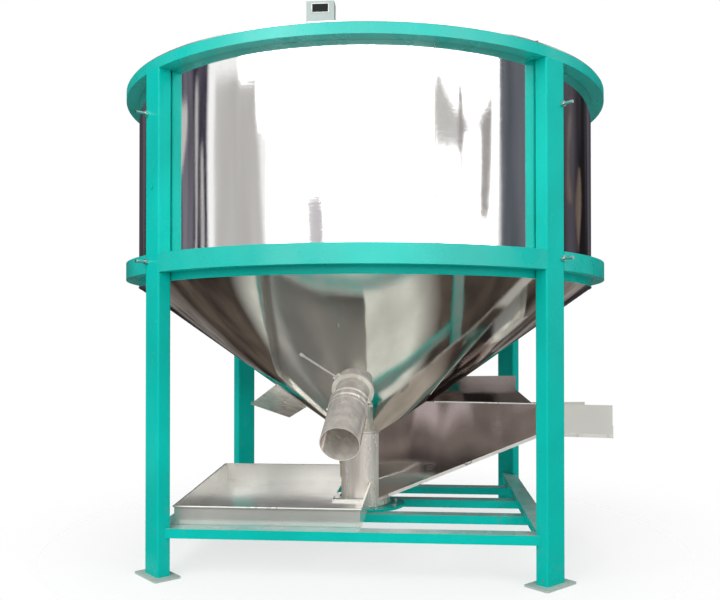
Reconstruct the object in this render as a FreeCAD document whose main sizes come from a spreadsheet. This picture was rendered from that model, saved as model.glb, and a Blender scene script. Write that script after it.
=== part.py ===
"""Vertical plastic mixer with bottom feed hoppers, modelled in millimetres.

The tank is a polished steel cylinder with a cone below it. Four rectangular legs carry it between
two rolled rings. A screw turns on the tank's axis: it lifts the material from the casing at the foot
of the cone, through a guide tube, and throws it out at the top. The gear motor stands on the lid.
Origin: on the floor, below the tank's axis. +Z up, -Y towards the discharge spout, +X towards the
large feed hopper.
"""
import FreeCAD, Part
import os

import Sketcher
from FreeCAD import Placement, Rotation, Vector

DIMENSIONS = [
    # frame
    ("ring_radius", 1200, "outer radius of both rings"),
    ("ring_width", 60, "radial width of both rings"),
    ("ring_wall", 4, "wall of the ring tube"),
    ("top_ring_height", 45, "height of the top ring"),
    ("low_ring_height", 80, "height of the lower ring"),
    ("frame_height", 2204, "floor to the top of the top ring"),
    ("low_ring_level", 1295, "floor to the underside of the lower ring"),
    ("leg_wide", 120, "leg tube, side that faces out"),
    ("leg_deep", 60, "leg tube, radial side"),
    ("leg_wall", 4, "wall of the leg tube"),
    ("leg_corner", 8, "outer corner radius of the leg tube"),
    ("foot_long", 200, "foot plate, along the tangent"),
    ("foot_deep", 120, "foot plate, along the radius"),
    ("foot_thick", 8, "foot plate thickness"),
    ("foot_corner", 9, "foot plate corner radius"),
    ("rail_wide", 80, "base rail width"),
    ("rail_high", 40, "base rail height"),
    ("rail_wall", 3, "base rail wall"),
    ("rail_level", 150, "floor to the underside of the side rails"),
    ("front_rail_level", 170, "floor to the underside of the front rail"),
    ("cross_first", 200, "first cross rail, forward of the axis"),
    ("cross_spacing", 380, "spacing of the cross rails"),
    ("seat_gap", 0.3, "gap between curved faces that are welded or seated"),
    # tank
    ("tank_wall", 3, "sheet of the tank and the cone"),
    ("band_height", 32, "painted band between the tank and the cone"),
    ("band_thick", 12, "radial thickness of the band"),
    ("cone_foot", 541, "floor to the lower edge of the cone"),
    ("casing_radius", 133, "outer radius of the screw casing"),
    ("casing_wall", 4, "wall of the screw casing"),
    ("flange_radius", 208, "radius of the casing's base flange"),
    ("flange_thick", 12, "thickness of the base flange"),
    ("feed_wide", 180, "feed window in the casing"),
    ("feed_high", 205, "height of the feed window"),
    ("feed_sill", 8, "windows above the floors that lead to them"),
    ("side_wide", 130, "window in the casing at the tray"),
    ("side_high", 168, "height of the window at the tray"),
    # lid
    ("gasket_thick", 3, "lid gasket thickness"),
    ("gasket_wide", 22, "lid gasket radial width"),
    ("lid_thick", 4, "lid plate thickness"),
    ("lid_inset", 5, "lid edge inside the ring's edge"),
    ("lid_hole", 70, "radius of the lid's centre hole"),
    ("beam_offset", 150, "motor beam, axis to its centre line"),
    ("beam_inset", 35, "end of a motor beam inside the ring's edge"),
    ("hatch_long", 460, "hatch opening along X"),
    ("hatch_wide", 380, "hatch opening along Y"),
    ("hatch_x_inset", 680, "ring's edge to the hatch centre, along X"),
    ("hatch_y_inset", 560, "ring's edge to the hatch centre, along Y"),
    ("hatch_lap", 30, "hatch cover past its opening"),
    ("hatch_thick", 4, "hatch cover thickness"),
    ("curb_high", 26, "height of the curb round the hatch opening"),
    ("curb_thick", 4, "thickness of the curb"),
    ("grip_long", 160, "hatch handle"),
    ("grip_size", 14, "side of the hatch handle's bar"),
    ("grip_rise", 34, "hatch handle above the cover"),
    ("hinge_out", 24, "hinge pin past the cover's edge"),
    ("hinge_spread", 150, "hinge, from the middle of the hatch"),
    ("hinge_wide", 26, "width of a hinge knuckle"),
    ("hinge_play", 1, "gap between hinge knuckles"),
    ("pin_radius", 5, "hinge pin"),
    # screw
    ("shaft_radius", 25, "screw shaft"),
    ("shaft_play", 0.05, "radial play of the shaft in its bearings"),
    ("shaft_foot", 3, "shaft's lower end above the flange"),
    ("shaft_seat", 60, "shaft inside the gear unit"),
    ("hub_radius", 42, "hub of the spreader"),
    ("flight_radius", 112, "outer radius of the screw flight"),
    ("flight_thick", 6, "thickness of the flight"),
    ("flight_pitch", 220, "pitch of the flight"),
    ("flight_start", 215, "floor to the start of the flight"),
    ("flight_gap", 4, "end of the flight to the paddles"),
    ("guide_radius", 122, "outer radius of the guide tube"),
    ("guide_wall", 3, "wall of the guide tube"),
    ("guide_rise", 149, "foot of the cone to the lower end of the guide tube"),
    ("guide_drop", 274, "top of the frame to the upper end of the guide tube"),
    ("strut_size", 30, "side of the square struts of the guide tube"),
    ("strut_low_rise", 259, "foot of the cone to the lower struts"),
    ("strut_high_drop", 444, "top of the frame to the upper struts"),
    ("paddle_reach", 330, "reach of the spreader paddles"),
    ("paddle_high", 70, "height of the spreader paddles"),
    ("paddle_thick", 8, "thickness of the spreader paddles"),
    ("paddle_drop", 219, "top of the frame to the underside of the paddles"),
    # drive
    ("plate_long", 420, "motor plate along Y"),
    ("plate_wide", 300, "motor plate along X"),
    ("plate_thick", 12, "motor plate thickness"),
    ("gearbox_radius", 112, "gear unit radius"),
    ("gearbox_high", 140, "gear unit height"),
    ("gearbox_rim", 18, "height of the gear unit's flanges"),
    ("gearbox_rim_wide", 20, "gear unit flanges past the housing"),
    ("motor_radius", 84, "motor housing radius without its fins"),
    ("motor_high", 150, "motor housing height"),
    ("fin_count", 24, "number of cooling fins"),
    ("fin_deep", 12, "radial depth of a fin"),
    ("fin_thick", 3, "fin thickness"),
    ("fan_cover_high", 55, "fan cover height"),
    ("fan_cover_slant", 16, "slanting edge of the fan cover"),
    ("terminal_out", 60, "terminal box, past the fins"),
    ("terminal_wide", 90, "terminal box width"),
    ("terminal_high", 70, "terminal box height"),
    ("bearing_radius", 62, "bearing housing radius"),
    ("bearing_high", 40, "bearing housing height"),
    ("bearing_step", 14, "narrowing of the bearing housing to its top"),
    # outlet
    ("outlet_radius", 541, "tank's axis to where the outlet's axis leaves the cone"),
    ("outlet_slope", 31, "outlet, degrees below level"),
    ("outlet_turn", 4.3, "outlet, degrees turned left of the front"),
    ("neck_radius", 75, "outer radius of the stub and the neck"),
    ("neck_wall", 3, "wall of the stub, the neck and the spout"),
    ("gate_level", 91, "cone to the gate housing, along the outlet's axis"),
    ("gate_high", 15, "gate housing along the outlet's axis"),
    ("gate_radius", 95, "radius of the gate housing"),
    ("blade_half", 76, "half the width of the gate blade"),
    ("blade_thick", 3, "gate blade thickness"),
    ("blade_play", 0.4, "gap round the blade in its slot"),
    ("tongue_out", 12, "blade's tongue past the gate housing"),
    ("tongue_half", 20, "half the width of the tongue"),
    ("blade_angle", 49, "degrees from level at which the blade slides"),
    ("rod_radius", 4.5, "gate rod"),
    ("rod_gap", 2, "gate housing to the near end of the rod"),
    ("rod_long", 215, "gate rod"),
    ("rod_tilt", 15, "degrees that the rod leans away from the cone"),
    ("rod_grip_radius", 7, "grip at the rod's end"),
    ("rod_grip_long", 16, "length of that grip"),
    ("neck_long", 120, "neck past the gate housing"),
    ("spout_radius", 84, "outer radius of the spout"),
    ("spout_start", 229, "cone to the near end of the spout"),
    ("spout_long", 253, "length of the spout"),
    ("clamp_start", 193, "cone to the clamp ring"),
    ("clamp_high", 72, "clamp ring along the outlet's axis"),
    ("clamp_wall", 2, "wall of the clamp ring"),
    ("clamp_bead", 3, "how far the clamp's beads stand out"),
    ("clamp_bolt_radius", 5, "clamp bolt"),
    ("clamp_bolt_long", 50, "clamp bolt"),
    ("lug_out", 16, "clamp lugs past the ring"),
    ("lug_thick", 5, "thickness of a clamp lug"),
    ("lug_wide", 16, "width of a clamp lug"),
    ("lug_spread", 14, "space between the clamp's lugs"),
    ("lug_turn", 15, "degrees that the lugs lie above the right side"),
    # hopper on the right
    ("sheet", 3, "sheet of the hopper, the chute and the tray"),
    ("hopper_neck", 105, "half the hopper's width at the casing"),
    ("hopper_half", 330, "half the hopper's width at its mouth"),
    ("hopper_level", 321, "length of the hopper's level floor"),
    ("hopper_inset", 4, "hopper's outer end inside the ring's edge"),
    ("hopper_low", 185, "hopper floor at the casing"),
    ("hopper_shelf", 546, "level part of the hopper's floor"),
    ("hopper_front_rim", 700, "front wall's top"),
    ("hopper_back_rim", 812, "back wall's top"),
    ("hopper_back_clear", 387, "hopper's outer end to where the high back wall stops"),
    ("hopper_back_step", 737, "back wall's top just past that"),
    ("hopper_slant", 85, "length of the back wall's slanting top past the step"),
    ("hopper_back_low", 666, "back wall's top past the slant"),
    ("hopper_sill", 604, "top of the end wall"),
    # chute plate at the back left
    ("chute_x", 641, "chute plate's low corner, left of the axis"),
    ("chute_y", 165, "that corner, behind the axis"),
    ("chute_level", 654, "floor to that corner"),
    ("chute_long", 480, "chute plate towards the cone, before it is trimmed"),
    ("chute_wide", 232, "width of the chute plate"),
    ("chute_lip", 15, "folded lip at the plate's outer edge"),
    ("chute_turn", 60.8, "degrees that the plate turns towards the front"),
    ("chute_climb", 16.5, "degrees that it climbs towards the cone"),
    ("chute_roll", 21, "degrees that it leans over sideways"),
    # tray
    ("tray_left_gap", 17.527, "tray's front left corner to the inner face of the side rail"),
    ("tray_flare", 66, "how far the tray widens to its back left corner"),
    ("tray_right", 38, "tray's right side, past the axis"),
    ("tray_front_gap", 7.527, "tray's front to the front rail"),
    ("tray_back", 400, "tray's back"),
    ("tray_notch_gap", 17, "screw casing to the tray's notch"),
    ("tray_high", 100, "height of the tray's walls"),
    ("tray_lip", 14, "low lip along the notch"),
    ("tray_rim", 6, "folded rim of the tray's walls"),
    ("runner_size", 40, "side of the runner below the tray"),
    ("runner_x", 250, "runner's middle, left of the axis"),
    ("runner_long", 460, "length of the runner"),
    # small pieces
    ("box_wide", 106, "control box along X"),
    ("box_deep", 56, "control box along Y"),
    ("box_high", 84, "control box height"),
    ("box_x", 82, "control box centre, left of the axis"),
    ("box_inset", 24, "control box's front inside the ring's edge"),
    ("window_drop", 10, "display window below the box's top"),
    ("window_wide", 64, "display window along X"),
    ("window_high", 34, "display window height"),
    ("window_thick", 4, "display window thickness"),
    ("bolt_radius", 7, "leg bolt"),
    ("bolt_long", 52, "leg bolt outside the leg"),
    ("bolt_drop", 219, "top of the frame to the upper leg bolts"),
    ("bolt_rise", 50, "underside of the lower ring to the lower leg bolts"),
    ("bolt_aside", 45, "leg bolts from the leg's middle"),
    ("nut_radius", 13, "leg bolt nut, to its corners"),
    ("nut_high", 11, "leg bolt nut"),
    ("plug_radius", 13, "round plug in the front left leg"),
    ("plug_thick", 2.5, "round plug"),
    ("plug_level", 1665, "floor to the round plug"),
]

doc = FreeCAD.newDocument("mixer")
sheet = doc.addObject("Spreadsheet::Sheet", "dims")
for row, (alias, number, meaning) in enumerate(DIMENSIONS, start=1):
    sheet.set(f"A{row}", meaning)
    sheet.set(f"B{row}", str(number))
    sheet.setAlias(f"B{row}", alias)
doc.recompute()

# Derived sizes, as expressions over the cells
TANK_RADIUS = "(dims.ring_radius - dims.ring_width)"
LEG_RADIUS = f"({TANK_RADIUS} + dims.seat_gap + dims.leg_deep / 2)"
LEG_TOP = "(dims.frame_height - dims.top_ring_height)"
LEG_PLACE = f"({LEG_RADIUS} * cos(45))"
RAIL_TOP = "(dims.rail_level + dims.rail_high)"
RAIL_INSIDE = f"({LEG_PLACE} - dims.rail_wide / 2)"
TRAY_LEFT = f"({RAIL_INSIDE} - dims.tray_left_gap)"
TRAY_FRONT = f"({RAIL_INSIDE} - dims.tray_front_gap)"
TRAY_NOTCH = "(dims.casing_radius + dims.tray_notch_gap)"
BAND_LEVEL = "(dims.low_ring_level - dims.band_height)"
CONE_TOP = f"({BAND_LEVEL} - dims.seat_gap)"
CONE_TIP = "(dims.casing_radius + dims.seat_gap)"
CONE_RISE = f"(({CONE_TOP} - dims.cone_foot) / ({TANK_RADIUS} - {CONE_TIP}))"
CONE_SHIFT = f"(dims.tank_wall / sin(atan({CONE_RISE})))"
FLANGE_TOP = "(dims.rail_level + dims.flange_thick)"
LID_LEVEL = "(dims.frame_height + dims.gasket_thick)"
LID_TOP = f"({LID_LEVEL} + dims.lid_thick)"
BEAM_TOP = f"({LID_TOP} + dims.rail_high)"
PLATE_TOP = f"({BEAM_TOP} + dims.plate_thick)"
NECK_BORE = "(dims.neck_radius - dims.neck_wall)"
HOPPER_NEAR = "(dims.casing_radius / 2)"
HOPPER_END = "(dims.ring_radius - dims.hopper_inset)"
HOPPER_BEND = f"({HOPPER_END} - dims.hopper_level)"
HOPPER_SLOPE = f"((dims.hopper_shelf - dims.hopper_low) / ({HOPPER_BEND} - {HOPPER_NEAR}))"
HOPPER_FOOT = f"(dims.hopper_low + {HOPPER_SLOPE} * (dims.casing_radius - {HOPPER_NEAR}))"
SHAFT_BORE = "(dims.shaft_radius + dims.shaft_play)"
PADDLE_LEVEL = "(dims.frame_height - dims.paddle_drop)"
FLIGHT_RISE = f"({PADDLE_LEVEL} - dims.flight_gap - dims.flight_thick - dims.flight_start)"
HATCH_X = "(dims.ring_radius - dims.hatch_x_inset)"
HATCH_Y = "(dims.ring_radius - dims.hatch_y_inset)"
BEAM_END = "(dims.ring_radius - dims.beam_inset)"
BOX_FRONT = "(dims.ring_radius - dims.box_inset)"
LEG_ANGLES = {"front_left": 225, "front_right": 315, "back_right": 45, "back_left": 135}

finished = []


def value(expression):
    """The number that an expression over the cells gives."""
    return float(sheet.evalExpression(expression))


def keep(piece, label):
    """Labels a finished piece and puts it on the list of pieces to write."""
    piece.Label = label
    finished.append(piece)
    return piece


def bind(piece, **expressions):
    """Binds a piece's properties to expressions; x, y and z are its Placement's base."""
    for name, expression in expressions.items():
        target = f".Placement.Base.{name}" if name in ("x", "y", "z") else name
        piece.setExpression(target, str(expression))
    return piece


def plane_of(body, role):
    """One of a body's own origin planes."""
    return next(f for f in body.Origin.OriginFeatures if f.Role == role)


def sketch_on(body, role, outlines, lift=None):
    """A fully dimensioned sketch of closed outlines; a point is a pair of expressions."""
    drawing = body.newObject("Sketcher::SketchObject", "Sketch")
    drawing.AttachmentSupport = [(plane_of(body, role), "")]
    drawing.MapMode = "FlatFace"
    if lift is not None:
        drawing.setExpression(".AttachmentOffset.Base.z", lift)
    for outline in outlines:
        corners = [Vector(value(a), value(b), 0) for a, b in outline]
        first = drawing.GeometryCount
        count = len(corners)
        for i in range(count):
            drawing.addGeometry(Part.LineSegment(corners[i], corners[(i + 1) % count]), False)
        for i in range(count):
            drawing.addConstraint(
                Sketcher.Constraint("Coincident", first + i, 2, first + (i + 1) % count, 1)
            )
        for i, (a, b) in enumerate(outline):
            for kind, expression, size, axis in (
                ("DistanceX", a, corners[i].x, -2),
                ("DistanceY", b, corners[i].y, -1),
            ):
                if expression == "0":
                    drawing.addConstraint(Sketcher.Constraint("PointOnObject", first + i, 1, axis))
                    continue
                index = drawing.addConstraint(
                    Sketcher.Constraint(kind, -1, 1, first + i, 1, size)
                )
                drawing.setExpression(f"Constraints[{index}]", expression)
    return drawing


def circle_on(body, role, radius, across="0", along="0", lift=None):
    """A sketch of one circle."""
    drawing = body.newObject("Sketcher::SketchObject", "Sketch")
    drawing.AttachmentSupport = [(plane_of(body, role), "")]
    drawing.MapMode = "FlatFace"
    if lift is not None:
        drawing.setExpression(".AttachmentOffset.Base.z", lift)
    middle = Vector(value(across), value(along), 0)
    drawing.addGeometry(Part.Circle(middle, Vector(0, 0, 1), value(radius)), False)
    index = drawing.addConstraint(Sketcher.Constraint("Radius", 0, value(radius)))
    drawing.setExpression(f"Constraints[{index}]", radius)
    for kind, expression, size, axis in (
        ("DistanceX", across, middle.x, -2),
        ("DistanceY", along, middle.y, -1),
    ):
        if expression == "0":
            drawing.addConstraint(Sketcher.Constraint("PointOnObject", 0, 3, axis))
            continue
        index = drawing.addConstraint(Sketcher.Constraint(kind, -1, 1, 0, 3, size))
        drawing.setExpression(f"Constraints[{index}]", expression)
    return drawing


def new_body(name):
    return doc.addObject("PartDesign::Body", name)


def pad(body, drawing, length):
    """Pads a sketch along its plane's normal."""
    feature = body.newObject("PartDesign::Pad", "Pad")
    feature.Profile = drawing
    feature.setExpression("Length", length)
    return feature


def pocket(body, drawing, length, reverse=False):
    """Cuts a sketch against its plane's normal, or along it when reversed."""
    feature = body.newObject("PartDesign::Pocket", "Pocket")
    feature.Profile = drawing
    feature.setExpression("Length", length)
    feature.Reversed = reverse
    return feature


def rectangle(low_x, low_y, high_x, high_y):
    return [(low_x, low_y), (high_x, low_y), (high_x, high_y), (low_x, high_y)]


def centred(wide, high):
    return rectangle(f"-({wide}) / 2", f"-({high}) / 2", f"({wide}) / 2", f"({high}) / 2")


def tube_body(name, wide, high, wall, length):
    """A rectangular tube along the body's own Z axis."""
    body = new_body(name)
    inner = centred(f"{wide} - 2 * {wall}", f"{high} - 2 * {wall}")
    pad(body, sketch_on(body, "XY_Plane", [centred(wide, high), inner]), length)
    return body


def turned(name, outlines, angle=360):
    """A body turned about its own Z axis from profiles of (radius, level)."""
    body = new_body(name)
    drawing = sketch_on(body, "XZ_Plane", outlines)
    feature = body.newObject("PartDesign::Revolution", "Revolution")
    feature.Profile = drawing
    feature.ReferenceAxis = (drawing, ["V_Axis"])
    feature.Angle = angle
    return body


def cut(base, tool, name="Cut"):
    feature = doc.addObject("Part::Cut", name)
    feature.Base = base
    feature.Tool = tool
    return feature


def joined(pieces, name="Fuse"):
    feature = doc.addObject("Part::MultiFuse", name)
    feature.Shapes = pieces
    return feature


def grouped(pieces, name):
    """Separate solids that share one node."""
    feature = doc.addObject("Part::Compound", name)
    feature.Links = pieces
    return feature


def upright_edges(shape, half_x, half_y):
    """Names of the edges along Z that lie at the outer corners."""
    names = []
    for i, edge in enumerate(shape.Edges, start=1):
        a, b = edge.Vertexes[0].Point, edge.Vertexes[-1].Point
        along = abs(a.x - b.x) < 1e-6 and abs(a.y - b.y) < 1e-6
        if along and abs(abs(a.x) - half_x) < 1e-4 and abs(abs(a.y) - half_y) < 1e-4:
            names.append(f"Edge{i}")
    return names


def round_corners(body, half_x, half_y, radius):
    """Rounds a prism's outer corners."""
    doc.recompute()
    tip = body.Tip
    feature = body.newObject("PartDesign::Fillet", "Fillet")
    feature.Base = (tip, upright_edges(tip.Shape, value(half_x), value(half_y)))
    feature.setExpression("Radius", radius)
    body.Tip = feature
    return feature


def cylinder(radius, height, level="0", name="Cylinder"):
    feature = doc.addObject("Part::Cylinder", name)
    return bind(feature, Radius=radius, Height=height, z=level)


def block(long, wide, high, x, y, z, name="Box"):
    """A box by its sizes and its low corner."""
    feature = doc.addObject("Part::Box", name)
    return bind(feature, Length=long, Width=wide, Height=high, x=x, y=y, z=z)


def polar(radius, angle):
    """Expressions of a point at a radius and an angle in degrees."""
    return f"{radius} * cos({angle})", f"{radius} * sin({angle})"


def turn_z(angle):
    return Rotation(Vector(0, 0, 1), angle)


ALONG_X = Rotation(Vector(0, 1, 0), 90)
ALONG_Y = Rotation(Vector(1, 0, 0), -90)


# Legs and foot plates
def make_legs():
    for name, angle in LEG_ANGLES.items():
        x, y = polar(LEG_RADIUS, angle)
        length = f"{LEG_TOP} - dims.foot_thick"
        leg = tube_body("Leg", "dims.leg_wide", "dims.leg_deep", "dims.leg_wall", length)
        round_corners(leg, "dims.leg_wide / 2", "dims.leg_deep / 2", "dims.leg_corner")
        leg.Placement = Placement(Vector(0, 0, 0), turn_z(angle - 90))
        bind(leg, x=x, y=y, z="dims.foot_thick")
        keep(leg, f"leg_{name}")

        foot = new_body("Foot")
        pad(foot, sketch_on(foot, "XY_Plane", [centred("dims.foot_long", "dims.foot_deep")]),
            "dims.foot_thick")
        round_corners(foot, "dims.foot_long / 2", "dims.foot_deep / 2", "dims.foot_corner")
        foot.Placement = Placement(Vector(0, 0, 0), turn_z(angle - 90))
        bind(foot, x=x, y=y)
        keep(foot, f"foot_plate_{name}")


def leg_outline(angle, level="0", height="dims.frame_height"):
    """A solid with a leg's outline, to cut what is welded against the leg."""
    outline = new_body("LegOutline")
    pad(outline, sketch_on(outline, "XY_Plane", [centred("dims.leg_wide", "dims.leg_deep")]), height)
    outline.Placement = Placement(Vector(0, 0, 0), turn_z(angle - 90))
    x, y = polar(LEG_RADIUS, angle)
    return bind(outline, x=x, y=y, z=level)


# Rings, the band under the lower ring
def ring_profile(level, height):
    inner, outer = TANK_RADIUS, "dims.ring_radius"
    wall = "dims.ring_wall"
    return [
        rectangle(inner, level, outer, f"{level} + {height}"),
        rectangle(f"{inner} + {wall}", f"{level} + {wall}", f"{outer} - {wall}",
                  f"{level} + {height} - {wall}"),
    ]


def make_rings():
    keep(turned("TopRing", ring_profile(LEG_TOP, "dims.top_ring_height")), "top_ring")
    for name, angle in (("front", 225), ("right", 315), ("back", 45), ("left", 135)):
        quarter = turned("LowRing", ring_profile("dims.low_ring_level", "dims.low_ring_height"), 90)
        quarter.Placement = Placement(Vector(0, 0, 0), turn_z(angle))
        legs = joined([leg_outline(angle), leg_outline(angle + 90)])
        keep(cut(quarter, legs), f"lower_ring_{name}")
    outer = f"{TANK_RADIUS} - dims.seat_gap"
    band = rectangle(f"{outer} - dims.band_thick", BAND_LEVEL, outer, "dims.low_ring_level")
    keep(turned("Band", [band]), "cone_band")


# Base rails
def side_rail(name, side):
    rail = tube_body("SideRail", "dims.rail_wide", "dims.rail_high", "dims.rail_wall",
                     f"2 * {LEG_PLACE}")
    rail.Placement = Placement(Vector(0, 0, 0), ALONG_Y)
    bind(rail, x=f"{side} * {LEG_PLACE}", y=f"-{LEG_PLACE}",
         z="dims.rail_level + dims.rail_high / 2")
    angles = (225, 135) if side < 0 else (315, 45)
    keep(cut(rail, joined([leg_outline(angle) for angle in angles])), name)


def make_rails():
    side_rail("base_rail_left", -1)
    side_rail("base_rail_right", 1)
    front = tube_body("FrontRail", "dims.rail_high", "dims.rail_wide", "dims.rail_wall",
                      f"2 * {LEG_PLACE}")
    front.Placement = Placement(Vector(0, 0, 0), ALONG_X)
    bind(front, x=f"-{LEG_PLACE}", y=f"-{LEG_PLACE}",
         z="dims.front_rail_level + dims.rail_high / 2")
    corners = [leg_outline(225), leg_outline(315)]
    for side in (-1, 1):
        corners.append(block("dims.rail_wide", f"2 * {LEG_PLACE}", "dims.rail_high",
                             f"{side} * {LEG_PLACE} - dims.rail_wide / 2", f"-2 * {LEG_PLACE}",
                             "dims.front_rail_level"))
    keep(cut(front, joined(corners)), "base_rail_front")
    for index, name in enumerate(("front", "middle", "back")):
        cross = tube_body("CrossRail", "dims.rail_high", "dims.rail_wide", "dims.rail_wall",
                          f"2 * {LEG_PLACE}")
        cross.Placement = Placement(Vector(0, 0, 0), ALONG_X)
        bind(cross, x=f"-{LEG_PLACE}", y=f"{index} * dims.cross_spacing - dims.cross_first",
             z="dims.rail_level - dims.rail_high / 2")
        keep(cross, f"cross_rail_{name}")


# Outlet frame: Z along the outlet's axis, Y up across it, X to the right
def outlet_point():
    reach = value("dims.outlet_radius")
    level = value(f"dims.cone_foot + (dims.outlet_radius - {CONE_TIP}) * {CONE_RISE}")
    return Vector(0, -reach, level)


def outlet_place():
    tilt = Rotation(Vector(1, 0, 0), 90 + value("dims.outlet_slope"))
    return Placement(outlet_point(), turn_z(-value("dims.outlet_turn")).multiply(tilt))


def on_outlet(piece):
    """Puts a piece that was drawn about the outlet's axis in its place."""
    piece.Placement = outlet_place()
    return piece


# Tank, cone and casing
def cone_solid(name="ConeOutside"):
    """What the cone encloses, out to its outer face."""
    feature = doc.addObject("Part::Cone", name)
    return bind(feature, Radius1=CONE_TIP, Radius2=f"{TANK_RADIUS} - dims.seat_gap",
                Height=f"{CONE_TOP} - dims.cone_foot", z="dims.cone_foot")


def make_tank():
    outer = f"{TANK_RADIUS} - dims.seat_gap"
    shell = rectangle(f"{outer} - dims.tank_wall", "dims.low_ring_level", outer, "dims.frame_height")
    keep(turned("Shell", [shell]), "tank_shell")

    rise = f"dims.tank_wall / cos(atan({CONE_RISE}))"
    profile = [
        (CONE_TIP, "dims.cone_foot"),
        (outer, CONE_TOP),
        (f"{outer} - {CONE_SHIFT}", CONE_TOP),
        (CONE_TIP, f"dims.cone_foot + {rise}"),
    ]
    cone = turned("Cone", [profile])
    hole = on_outlet(turned("Hole", [rectangle("0", "-dims.neck_radius", NECK_BORE,
                                               "dims.neck_radius")]))
    keep(cut(cone, hole), "cone")


def spoke(start, end, wide, high, level, angle):
    """A block that runs out from the axis in the direction of an angle."""
    body = new_body("Spoke")
    outline = rectangle(start, f"-({wide}) / 2", end, f"({wide}) / 2")
    pad(body, sketch_on(body, "XY_Plane", [outline]), high)
    body.Placement = Placement(Vector(0, 0, 0), turn_z(angle))
    return bind(body, z=level)


def make_casing():
    wall = rectangle("dims.casing_radius - dims.casing_wall", FLANGE_TOP, "dims.casing_radius",
                     "dims.cone_foot + dims.tank_wall")
    casing = turned("Casing", [wall])
    feed = spoke("0", "2 * dims.casing_radius", "dims.feed_wide", "dims.feed_high",
                 f"{HOPPER_FOOT} + dims.sheet + dims.feed_sill", 0)
    side = spoke("0", "2 * dims.casing_radius", "dims.side_wide", "dims.side_high",
                 f"{RAIL_TOP} + dims.feed_sill", 180)
    keep(cut(casing, joined([feed, side])), "screw_casing")

    flange = new_body("Flange")
    pad(flange, circle_on(flange, "XY_Plane", "dims.flange_radius"), "dims.flange_thick")
    bind(flange, z="dims.rail_level")
    keep(flange, "casing_flange")

    bearing = turned("Bearing", [[
        (SHAFT_BORE, "0"),
        ("dims.bearing_radius", "0"),
        ("dims.bearing_radius", "dims.bearing_high / 2"),
        ("dims.bearing_radius - dims.bearing_step", "dims.bearing_high"),
        (SHAFT_BORE, "dims.bearing_high"),
    ]])
    bind(bearing, z=FLANGE_TOP)
    keep(bearing, "foot_bearing")


# Screw, guide tube and struts
def make_screw():
    shaft = cylinder("dims.shaft_radius",
                     f"{PLATE_TOP} + dims.shaft_seat - {FLANGE_TOP} - dims.shaft_foot",
                     f"{FLANGE_TOP} + dims.shaft_foot", "Shaft")
    keep(shaft, "screw_shaft")

    flight = new_body("Flight")
    inner = "dims.shaft_radius + dims.seat_gap"
    drawing = sketch_on(flight, "XZ_Plane", [
        rectangle(inner, "dims.flight_start", "dims.flight_radius",
                  "dims.flight_start + dims.flight_thick")])
    helix = flight.newObject("PartDesign::AdditiveHelix", "Helix")
    helix.Profile = drawing
    helix.ReferenceAxis = (drawing, ["V_Axis"])
    helix.Mode = "pitch-turns-angle"
    helix.setExpression("Pitch", "dims.flight_pitch")
    helix.setExpression("Turns", f"{FLIGHT_RISE} / dims.flight_pitch")
    keep(flight, "screw_flight")

    hub = turned("Hub", [rectangle(inner, PADDLE_LEVEL, "dims.hub_radius",
                                   f"{PADDLE_LEVEL} + dims.paddle_high")])
    blades = [spoke("dims.hub_radius - dims.paddle_thick", "dims.paddle_reach",
                    "dims.paddle_thick", "dims.paddle_high", PADDLE_LEVEL, angle)
              for angle in (0, 180)]
    keep(joined([hub, *blades]), "spreader")


def make_guide():
    outer = "dims.guide_radius"
    low = "dims.cone_foot + dims.guide_rise"
    high = "dims.frame_height - dims.guide_drop"
    tube = turned("Guide", [rectangle(f"{outer} - dims.guide_wall", low, outer, high)])
    keep(tube, "guide_tube")
    for label, level, turn in (("low", "dims.cone_foot + dims.strut_low_rise", 30),
                               ("high", "dims.frame_height - dims.strut_high_drop", 90)):
        if label == "low":
            inside = cone_solid("ConeInside")
            bind(inside, z=f"dims.cone_foot + {CONE_RISE} * {CONE_SHIFT} + dims.seat_gap")
        else:
            inside = cylinder(f"{TANK_RADIUS} - 2 * dims.seat_gap - dims.tank_wall",
                              "dims.frame_height")
        struts = []
        for index in range(3):
            bar = spoke(f"{outer} - dims.guide_wall", TANK_RADIUS, "dims.strut_size",
                        "dims.strut_size", level, turn + 120 * index)
            core = cylinder(f"{outer} + dims.seat_gap", "dims.frame_height")
            trimmed = doc.addObject("Part::Common", "Strut")
            trimmed.Base = cut(bar, core)
            trimmed.Tool = inside
            struts.append(trimmed)
        keep(grouped(struts, "Struts"), f"guide_struts_{label}")


# Lid, hatch and drive
def hatch_rectangle(spread):
    left = f"{HATCH_X} - dims.hatch_long / 2 - {spread}"
    front = f"-{HATCH_Y} - dims.hatch_wide / 2 - {spread}"
    right = f"{HATCH_X} + dims.hatch_long / 2 + {spread}"
    back = f"-{HATCH_Y} + dims.hatch_wide / 2 + {spread}"
    return rectangle(left, front, right, back)


def make_lid():
    middle = f"({TANK_RADIUS} + dims.ring_radius) / 2"
    gasket = rectangle(f"{middle} - dims.gasket_wide / 2", "dims.frame_height",
                       f"{middle} + dims.gasket_wide / 2", LID_LEVEL)
    keep(turned("Gasket", [gasket]), "lid_gasket")

    lid = new_body("Lid")
    pad(lid, circle_on(lid, "XY_Plane", "dims.ring_radius - dims.lid_inset", lift=LID_LEVEL),
        "dims.lid_thick")
    doc.recompute()
    pocket(lid, circle_on(lid, "XY_Plane", "dims.lid_hole", lift=LID_LEVEL),
           "dims.lid_thick", reverse=True)
    pocket(lid, sketch_on(lid, "XY_Plane", [hatch_rectangle("0")], lift=LID_LEVEL),
           "dims.lid_thick", reverse=True)
    keep(lid, "lid")

    curb = new_body("Curb")
    pad(curb, sketch_on(curb, "XY_Plane", [hatch_rectangle("dims.curb_thick"),
                                           hatch_rectangle("0")], lift=LID_TOP), "dims.curb_high")
    keep(curb, "hatch_curb")


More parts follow.
